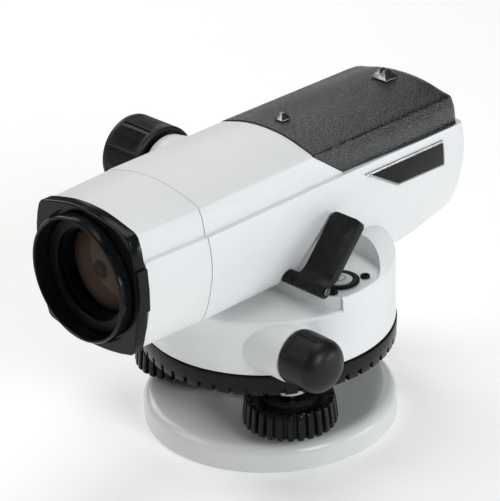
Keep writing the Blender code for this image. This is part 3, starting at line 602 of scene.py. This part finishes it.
hood = loft("bezel_body", [bezel_ring(-98.45, -0.55), bezel_ring(-98.15, -0.15), bezel_ring(-97.8, 0.0), bezel_ring(-93.5, 0.0), bezel_ring(-93.3, -0.15)])
for sign in (1, -1):
    high = 114.0 if sign > 0 else 108.5
    pad = [(27.0 * sign, high), (30.6 * sign, high - 0.6), (31.2 * sign, 104.5), (31.0 * sign, 95.6), (27.0 * sign, 95.2)]
    combine(hood, "UNION", prism("pad", pad, "Y", -98.35, -93.33))
combine(hood, "DIFFERENCE", turned("cut", [(0, -99.6), (27.9, -99.6), (27.9, -95.6), (0, -95.6)], "Y", (0, 0, OPTIC_Z), 96))
rim = [(0, -103.8), (25.6, -103.8), (26.15, -103.6), (26.44, -103.1), (26.44, -94.4), (0, -94.4)]
combine(hood, "UNION", turned("rim", rim, "Y", (0, 0, OPTIC_Z), 96))
mouth = [(0, -110), (25.6, -110), (25.35, -103.8), (24.98, -103.4), (24.9, -102.8)]
mouth += [(24.5, -94.95), (22.3, -94.8), (22.3, -80), (0, -80)]
combine(hood, "DIFFERENCE", turned("cut", mouth, "Y", (0, 0, OPTIC_Z), 96))
done(hood, "alidade", "black_plastic", "objective_hood", material=GLOSS_BLACK)

cell = [(18.6, -94.0), (22.0, -94.0), (22.0, -70.0), (17.0, -70.0), (17.0, -82.5), (18.6, -82.5)]
for k in range(5):
    y = -84.0 - 1.0 * k
    cell += [(18.6, y), (18.45, y - 0.3)]
cell += [(18.6, -93.4)]
done(turned("objective_cell_body", cell, "Y", (0, 0, OPTIC_Z), 96), "alidade", "black_anodised", "objective_cell")
retainer = [(19.4, -96.7), (19.7, -97.0), (23.7, -97.0), (24.0, -96.8), (24.0, -95.3), (19.4, -95.3)]
ret = turned("objective_retainer_body", retainer, "Y", (0, 0, OPTIC_Z), 96)
done(ret, "alidade", "black_anodised", "objective_retainer")
lens = through([(0.0, -91.0), (6.0, -90.77), (12.0, -90.06), (18.0, -88.9)], 4) + [(18.3, -88.7), (18.3, -84.6)] + through([(18.0, -84.5), (12.0, -84.15), (6.0, -83.9), (0.0, -83.8)], 3)
done(turned("objective_lens_body", lens, "Y", (0, 0, OPTIC_Z), 96, smooth=40.0), "alidade", "glass", "objective_lens", material=LENS_PAINTED_REFLECTION)


# -------------------------------------------------------------- focusing knob
def knurl(i, r, h, angle):
    if i not in KNURLED:
        return r, h
    t = (math.degrees(angle) - 108.0 + 22.5) % 45.0 - 22.5
    if abs(t) < 2.6:
        return r - 0.75, h
    if abs(t) < 6.0:
        return r - 0.05, h
    return r - 0.22 + 0.20 * math.cos(2 * math.pi * (t - 6.0) / 2.75), h


focus_angles = []
for p in range(8):
    start = 108.0 - 22.5 + 45.0 * p
    spots = [-22.5 + 0.46 * j for j in range(36)] + [-6.0, -4.6, -2.75, -2.45, -0.8, 0.8, 2.45, 2.75, 4.6] + [6.0 + 0.46 * j for j in range(36)]
    focus_angles += [math.radians(start + 22.5 + s) for s in spots if -22.5 <= s < 22.4]
body = [(3.3, -41.8), (14.2, -41.8), (14.5, -41.0), (14.6, -40.0), (15.0, -39.8), (15.9, -39.8), (16.35, -40.1), (16.5, -40.6), (16.5, -42.4)]
grip = [(16.5, -42.9), (16.5, -46.0), (16.5, -50.0), (16.5, -54.0), (16.5, -58.3)]
end = [(16.5, -58.8), (16.5, -60.0)] + arc(14.9, -60.0, 1.6, 0, -90, 5)[1:] + [(14.2, -61.6), (13.9, -61.3), (13.5, -61.0), (12.0, -61.0), (0, -61.0), (0, -59.3), (3.3, -59.3)]
KNURLED = range(len(body), len(body) + len(grip))
piece = turned("focus_knob_body", body + grip + end, "X", FOCUS, wave=knurl, angles=focus_angles)
done(piece, "focus_drive", "black_rubber", "focus_knob")


# -------------------------------------------------------------- tangent knobs
def lands(i, r, h, angle):
    if i not in LANDS:
        return r, h
    t = (math.degrees(angle) - 95.0) % 120.0
    edge = 1.6
    deep = max(0.0, min(1.0, t / edge)) * max(0.0, min(1.0, (58.0 - t) / edge))
    return r - 0.62 * deep, h


knob_angles = []
for p in range(3):
    start = 95.0 + 120.0 * p
    knob_angles += [math.radians(start + s) for s in [0.0, 0.8, 1.6] + [4.0 + 4.5 * j for j in range(12)] + [56.4, 57.2, 58.0] + [61.0 + 4.4 * j for j in range(14)] if s < 119.5]
for side, sign in (("right", 1), ("left", -1)):
    start = [(3.3, 50.2), (10.4, 50.2), (11.1, 50.4), (11.5, 50.9), (11.6, 51.6), (11.6, 52.2)]
    grip = [(11.6, 52.5), (11.58, 56.0), (11.5, 60.0), (11.44, 62.6)]
    end = through([(11.42, 62.9), (11.2, 64.2), (10.4, 65.9), (8.9, 67.5), (6.6, 68.8), (3.6, 69.55), (0.0, 69.8)], 3) + [(0, 65.2), (3.3, 65.2)]
    LANDS = range(len(start), len(start) + len(grip))
    profile = [(r, h * sign) for r, h in start + grip + end]
    piece = turned(f"tangent_knob_{side}_body", profile, "X", TANGENT, wave=lands, angles=knob_angles)
    done(piece, "tangent_drive", "black_rubber", f"tangent_knob_{side}")

# ------------------------------------------------------------------ top cover
rings = [ring_at(-10.0, top=0.7, fine=2), ring_at(2.1, top=0.7, fine=2), ring_at(60.0, top=-0.12, fine=2), ring_at(79.0, top=-0.38, fine=2), ring_at(83.4, top=-0.5, grow=-0.2, fine=2), ring_at(86.2, top=-0.65, grow=-0.85, fine=2), ring_at(88.4, top=-0.8, grow=-1.8, fine=2), ring_at(89.8, top=-0.8, grow=-3.0, fine=2), ring_at(90.4, top=-0.8, grow=-4.2, fine=2)]
cover = loft("cover_body", rings)
shape = prism("keep", [(2.25, 140.0), (2.25, 126.4), (17.1, 115.65), (110.0, 114.55), (110.0, 140.0)], "X", -60, 60)
combine(cover, "INTERSECT", shape)
combine(cover, "DIFFERENCE", loft("cut", [ring_at(-20.0, grow=-3.0), ring_at(87.0, grow=-3.4)]))
eased(cover, 0.3, 2, 35.0)
done(cover, "alidade", "black_textured_enamel", "top_cover")


def sight(name, y, half_x, half_y, z_low, z_high, notch):
    top_x, top_y = half_x * 0.3, half_y * 0.35
    rows = [[(-half_x, y - half_y, z_low), (half_x, y - half_y, z_low), (half_x, y + half_y, z_low), (-half_x, y + half_y, z_low)],
            [(-half_x, y - half_y, z_low + 0.3), (half_x, y - half_y, z_low + 0.3), (half_x, y + half_y, z_low + 0.3), (-half_x, y + half_y, z_low + 0.3)],
            [(-top_x, y - top_y, z_high), (top_x, y - top_y, z_high), (top_x, y + top_y, z_high), (-top_x, y + top_y, z_high)]]
    piece = loft(name + "_body", rows, 0.0)
    if notch:
        combine(piece, "DIFFERENCE", prism("cut", [(-1.5, z_high + 2), (1.5, z_high + 2), (0.5, z_high - 1.6), (-0.5, z_high - 1.6)], "Y", y - 10, y + 10))
    eased(piece, 0.18, 2, 25.0)
    return done(piece, "alidade", "aluminium", name, material=SIGHT)


sight("front_sight", 11.6, 2.4, 2.6, 132.5, 135.3, False)
sight("rear_sight", 73.8, 4.6, 3.8, 131.7, 135.4, True)


# --------------------------------------------------- plain plate on the side
def inset(outline, by):
    """A convex outline moved inwards by the distance."""
    area = sum(a[0] * b[1] - b[0] * a[1] for a, b in zip(outline, outline[1:] + outline[:1]))
    sign = 1 if area > 0 else -1
    n = len(outline)
    lines = []
    for i in range(n):
        (x0, y0), (x1, y1) = outline[i], outline[(i + 1) % n]
        length = math.hypot(x1 - x0, y1 - y0)
        nx, ny = -(y1 - y0) / length * sign, (x1 - x0) / length * sign
        lines.append((nx, ny, nx * x0 + ny * y0 + by))
    out = []
    for i in range(n):
        a1, b1, c1 = lines[i - 1]
        a2, b2, c2 = lines[i]
        det = a1 * b2 - a2 * b1
        out.append(((c1 * b2 - c2 * b1) / det, (a1 * c2 - a2 * c1) / det))
    return out


plate_line = [(26.4, 111.9), (75.0, 111.3), (75.1, 99.7), (45.5, 100.6)]


def on_panel(name, outline, inner, outer):
    """A thin sheet of this outline that follows the side panel."""
    piece = prism(name, outline, "X", 28.0, 38.0)
    combine(piece, "INTERSECT", loft("keep", [ring_at(10.0, grow=outer, fine=2), ring_at(84.0, grow=outer, fine=2)]))
    combine(piece, "DIFFERENCE", loft("cut", [ring_at(8.0, grow=inner, fine=2), ring_at(86.0, grow=inner, fine=2)]))
    return piece


badge = eased(on_panel("side_plate_body", plate_line, 0.3, 0.72), 0.12, 2)
done(badge, "alidade", "black_plastic", "side_plate")
for k, (a, b) in enumerate(((0.10, 0.42), (0.66, 0.82))):
    line = on_panel(f"side_plate_line_{k + 1}", inset(plate_line, a), 0.66, 0.8)
    combine(line, "DIFFERENCE", prism("cut", inset(plate_line, b), "X", 26.0, 40.0))
    done(line, "alidade", "aluminium")

# ---------------------------------------------------------------- round vial
vx, vy = VIAL
cup = [(0, 76.3), (8.1, 76.3), (8.3, 76.5), (8.3, 76.95), (8.1, 77.25), (7.8, 77.4), (6.0, 77.4), (5.75, 77.3), (5.5, 76.95), (0, 76.9)]
done(turned("vial_cup_body", cup, "Z", (vx, vy, 0), 80), "alidade", "black_anodised", "vial_cup")
glass = [(0, 76.95), (5.3, 77.0), (5.35, 77.3)] + through([(5.2, 77.42), (3.6, 77.7), (1.8, 77.85), (0, 77.9)], 3)
FLUID = Shade("vial_fluid")
FLUID.colour(FLUID.blend(FLUID.spread(FLUID.noise(150.0, 3.0), 0.0, 1.0), (0.44, 0.46, 0.42), (0.52, 0.53, 0.48)))
FLUID.roughness(FLUID.spread(FLUID.noise(300.0, 3.0), 0.03, 0.09))
FLUID.put(Coat_Weight=1.0, Coat_Roughness=0.02)
done(turned("vial_glass_body", glass, "Z", (vx, vy, 0), 64), "alidade", "glass", "vial_glass", material=FLUID.material)
mark = [(2.35, 77.78), (2.6, 77.78), (2.6, 77.86), (2.35, 77.88)]
done(turned("vial_mark", mark, "Z", (vx, vy, 0), 48), "alidade", "black_anodised")
bubble = [(0.0, 77.86), (1.5, 77.80)] + [(1.5, 77.9), (1.2, 77.98), (0.7, 78.02), (0.0, 78.04)]
done(turned("vial_bubble", bubble, "Z", (vx + 0.2, vy - 0.1, 0), 32), "alidade", "glass", material=FLUID.material)


def hexed(i, r, h, angle):
    if i in HEX:
        t = (angle + math.pi / 6) % (math.pi / 3) - math.pi / 6
        return r / math.cos(t), h
    return r, h


for k, a in enumerate((60.0, -60.0, 180.0)):
    sx, sy = vx + 11.0 * math.cos(math.radians(a)), vy + 11.0 * math.sin(math.radians(a))
    screw = [(0, 76.3), (1.9, 76.3), (2.0, 76.4), (2.0, 77.05), (1.9, 77.3), (1.7, 77.4), (1.05, 77.4), (0.95, 77.28), (0.95, 76.85), (0, 76.8)]
    HEX = (6, 7, 8)
    done(turned(f"vial_screw_{k + 1}_body", screw, "Z", (sx, sy, 0), 36, hexed), "alidade", "black_anodised", f"vial_screw_{k + 1}")

# ------------------------------------------------------------- folding mirror
x0, x1 = 34.1, 49.5
length = 32.0
tip = 2.6
face = [(x0, HINGE_Y - 0.2), (x1, HINGE_Y - 0.2)]
corner = [(x1 - tip + tip * math.cos(math.radians(t)), HINGE_Y + length - tip + tip * math.sin(math.radians(t))) for t in (0, 22.5, 45, 67.5, 90)]
corner += [(x0 + tip - tip * math.cos(math.radians(t)), HINGE_Y + length - tip + tip * math.sin(math.radians(t))) for t in (90, 67.5, 45, 22.5, 0)]
flap = prism("mirror_frame_body", face + corner, "Z", HINGE_Z - 3.6, HINGE_Z + 0.3)
heel = prism("cut", [(HINGE_Y - 4, HINGE_Z - 6), (HINGE_Y - 4, HINGE_Z - 0.3), (HINGE_Y - 0.3, HINGE_Z), (HINGE_Y + 3.0, HINGE_Z - 1.9), (HINGE_Y + 6.4, HINGE_Z - 3.65), (HINGE_Y + 6.4, HINGE_Z - 6)], "X", 20, 60)
combine(flap, "DIFFERENCE", heel, box("cut", (35.8, HINGE_Y + 8.0, HINGE_Z - 5.0), (47.8, HINGE_Y + length - 1.8, HINGE_Z - 2.2)))
blend_line = [(HINGE_Y - 0.5, HINGE_Z)] + [(HINGE_Y + v, HINGE_Z + w) for v, w in through([(0.0, 3.1), (1.5, 2.72), (3.0, 1.75), (4.6, 0.95), (6.6, 0.45), (8.6, 0.28)], 3)] + [(HINGE_Y + 8.6, HINGE_Z - 0.6)]
combine(flap, "UNION", prism("fillet", blend_line, "X", x0, x1))
rotated(flap, "X", (0, HINGE_Y, HINGE_Z), 48.0)
combine(flap, "UNION", turned("barrel", [(0, 33.6), (2.9, 33.6), (3.15, 33.85), (3.15, 49.25), (2.9, 49.5), (0, 49.5)], "X", (0, HINGE_Y, HINGE_Z), 48))
combine(flap, "DIFFERENCE", turned("cut", [(0, 20), (1.25, 20), (1.25, 60), (0, 60)], "X", (0, HINGE_Y, HINGE_Z), 32))
eased(flap, 0.22, 2, 35.0)
done(flap, "mirror_flap", "black_plastic", "mirror_frame")
glass = eased(box("mirror_glass_body", (36.1, HINGE_Y + 8.3, HINGE_Z - 3.4), (47.5, HINGE_Y + length - 2.1, HINGE_Z - 2.5)), 0.2, 2)
rotated(glass, "X", (0, HINGE_Y, HINGE_Z), 48.0)
done(glass, "mirror_flap", "mirror", "mirror_glass")
pin = turned("mirror_pin_body", [(0, 30.6), (0.95, 30.6), (0.95, 49.8), (1.5, 49.8), (1.7, 49.95), (1.7, 50.2), (1.55, 50.3), (0, 50.3)], "X", (0, HINGE_Y, HINGE_Z), 40)
combine(pin, "DIFFERENCE", rotated(box("slot", (50.0, HINGE_Y - 3, HINGE_Z - 0.22), (51.0, HINGE_Y + 3, HINGE_Z + 0.22)), "X", (0, HINGE_Y, HINGE_Z), 58.0))
done(pin, "alidade", "steel", "mirror_pin", material=metal("dark_steel", (0.16, 0.16, 0.17), (0.10, 0.10, 0.11), 0.38, "X"))
bracket = turned("mirror_bracket_body", [(0, 26.0), (3.15, 26.0), (3.15, 32.95), (2.9, 33.2), (0, 33.2)], "X", (0, HINGE_Y, HINGE_Z), 48)
combine(bracket, "UNION", box("foot", (27.5, -15.2, 76.3), (33.2, -12.0, 79.0)))
combine(bracket, "DIFFERENCE", loft("cut", [ring_at(-40.0, grow=0.35), ring_at(10.0, grow=0.35)]))
combine(bracket, "DIFFERENCE", turned("cut", [(0, 20), (1.25, 20), (1.25, 60), (0, 60)], "X", (0, HINGE_Y, HINGE_Z), 32))
done(bracket, "alidade", "black_plastic", "mirror_bracket")


# ------------------------------------------------------------------- eyepiece
def fine_knurl(i, r, h, angle):
    if i in FINE:
        return r - 0.14 + 0.14 * math.cos(60 * angle), h
    return r, h


ring = [(11.4, 91.6), (14.2, 91.6), (14.6, 91.9), (14.8, 92.4), (14.8, 92.9), (14.8, 97.6), (14.8, 98.1), (14.6, 98.7), (14.2, 99.0), (8.6, 99.0), (8.6, 97.2), (8.6, 93.6), (11.4, 93.6)]
FINE = (4, 5)
done(turned("diopter_ring_body", ring, "Y", (0, 0, OPTIC_Z), 360, fine_knurl), "eye_focus", "black_plastic", "diopter_ring")
cup = [(8.4, 99.4), (12.2, 99.4)] + through([(12.4, 99.6), (12.9, 101.0), (13.0, 102.2), (12.8, 103.3), (12.2, 103.75)], 3) + [(11.4, 103.8), (10.8, 103.5)] + through([(10.6, 103.2), (9.6, 102.0), (8.5, 101.2)], 3)
done(turned("eyecup_body", cup, "Y", (0, 0, OPTIC_Z), 96), "eye_focus", "black_rubber", "eyecup")
tube = [(6.4, 76.0), (8.2, 76.0), (8.2, 96.8), (8.0, 97.0), (6.6, 97.0), (6.4, 96.8)]
done(turned("eye_lens_tube_body", tube, "Y", (0, 0, OPTIC_Z), 64), "eye_tube", "black_anodised", "eye_lens_tube")
lens = through([(0.0, 92.0), (3.0, 92.2), (6.1, 92.8)], 3) + through([(6.1, 95.8), (3.0, 96.4), (0.0, 96.6)], 3)
done(turned("eye_lens_body", lens, "Y", (0, 0, OPTIC_Z), 64), "eye_tube", "glass", "eye_lens", material=LENS_PAINTED_REFLECTION)

# CAD pieces that stay as they are take the detailed materials.
for name, node in NODES.items():
    if not node.hide_render:
        node.data.materials.clear()
        node.data.materials.append(PLATE_STEEL if name == "spring_plate" else MATERIALS[SLOTS[name]])

# ---------------------------------------------------------- floor, light, view
floor = solid("floor", [(-4000, -4000, 0), (4000, -4000, 0), (4000, 4000, 0), (-4000, 4000, 0)], [(0, 1, 2, 3)])
floor.location.z = -0.0002
f = Shade("floor_paint")
f.colour(f.blend(f.spread(f.noise(3.0, 3.0), 0.0, 1.0), (0.93, 0.93, 0.93), (0.91, 0.91, 0.91)))
f.roughness(f.spread(f.noise(40.0, 3.0), 0.6, 0.75))
f.put(Emission_Color=(1.0, 1.0, 1.0, 1.0), Emission_Strength=0.2, Specular_IOR_Level=0.2)
floor.data.materials.append(f.material)

world = bpy.data.worlds.new("studio")
bpy.context.scene.world = world
world.use_nodes = True
world.node_tree.nodes["Background"].inputs["Color"].default_value = (0.98, 0.99, 1.0, 1.0)
world.node_tree.nodes["Background"].inputs["Strength"].default_value = 0.07


def lamp(name, at, to, size, power, colour=(1, 1, 1)):
    data = bpy.data.lights.new(name, "AREA")
    data.shape = "RECTANGLE"
    data.size, data.size_y = size
    data.energy = power
    data.color = colour
    obj = bpy.data.objects.new(name, data)
    bpy.context.scene.collection.objects.link(obj)
    obj.location = at
    obj.rotation_euler = (Vector(to) - Vector(at)).to_track_quat("-Z", "Y").to_euler()
    obj.visible_camera = False
    return obj


lamp("key", (1.4, -0.15, 0.75), (0, 0, 0.08), (0.6, 0.6), 11.2, (0.955, 0.98, 1.0))
lamp("rim", (1.45, 1.15, 0.16), (0, 0, 0.08), (0.8, 0.3), 6.4, (0.90, 0.95, 1.0))
lamp("top", (-0.1, 0.3, 1.5), (0, 0, 0.08), (1.0, 1.0), 8.0, (1.0, 1.0, 0.98))
lamp("rear", (-1.1, 1.1, 0.8), (0, 0, 0.1), (0.7, 0.7), 2.0, (1.0, 1.0, 0.99))
lamp("front", (-0.7, -1.0, 1.0), (0, 0, 0.08), (0.8, 0.8), 5.8, (1.0, 0.995, 0.965))
lamp("left", (-1.3, 0.1, 0.9), (0, 0, 0.08), (0.8, 0.8), 7.0, (1.0, 0.995, 0.965))

AZ, EL, ROLL, DIST, F_PX = 46.1, 26.8, -1.9, 996.77, 2370.21
AIM = Vector((-4.69, -4.88, 76.16))
az, el, roll = (math.radians(v) for v in (AZ, EL, ROLL))
back = Vector((math.sin(az) * math.cos(el), -math.cos(az) * math.cos(el), math.sin(el)))
right = Vector((math.cos(az), math.sin(az), 0.0))
up = back.cross(right)
across = math.cos(roll) * right + math.sin(roll) * up
upward = -math.sin(roll) * right + math.cos(roll) * up
data = bpy.data.cameras.new("camera")
data.lens = F_PX * 36.0 / 501.0
data.sensor_width = 36.0
data.clip_start, data.clip_end = 0.01, 50.0
camera = bpy.data.objects.new("camera", data)
bpy.context.scene.collection.objects.link(camera)
spot = (AIM + back * DIST) * MM
camera.matrix_world = Matrix(((across.x, upward.x, back.x, spot.x), (across.y, upward.y, back.y, spot.y), (across.z, upward.z, back.z, spot.z), (0, 0, 0, 1)))
bpy.context.scene.camera = camera
bpy.context.scene.view_settings.view_transform = "Standard"
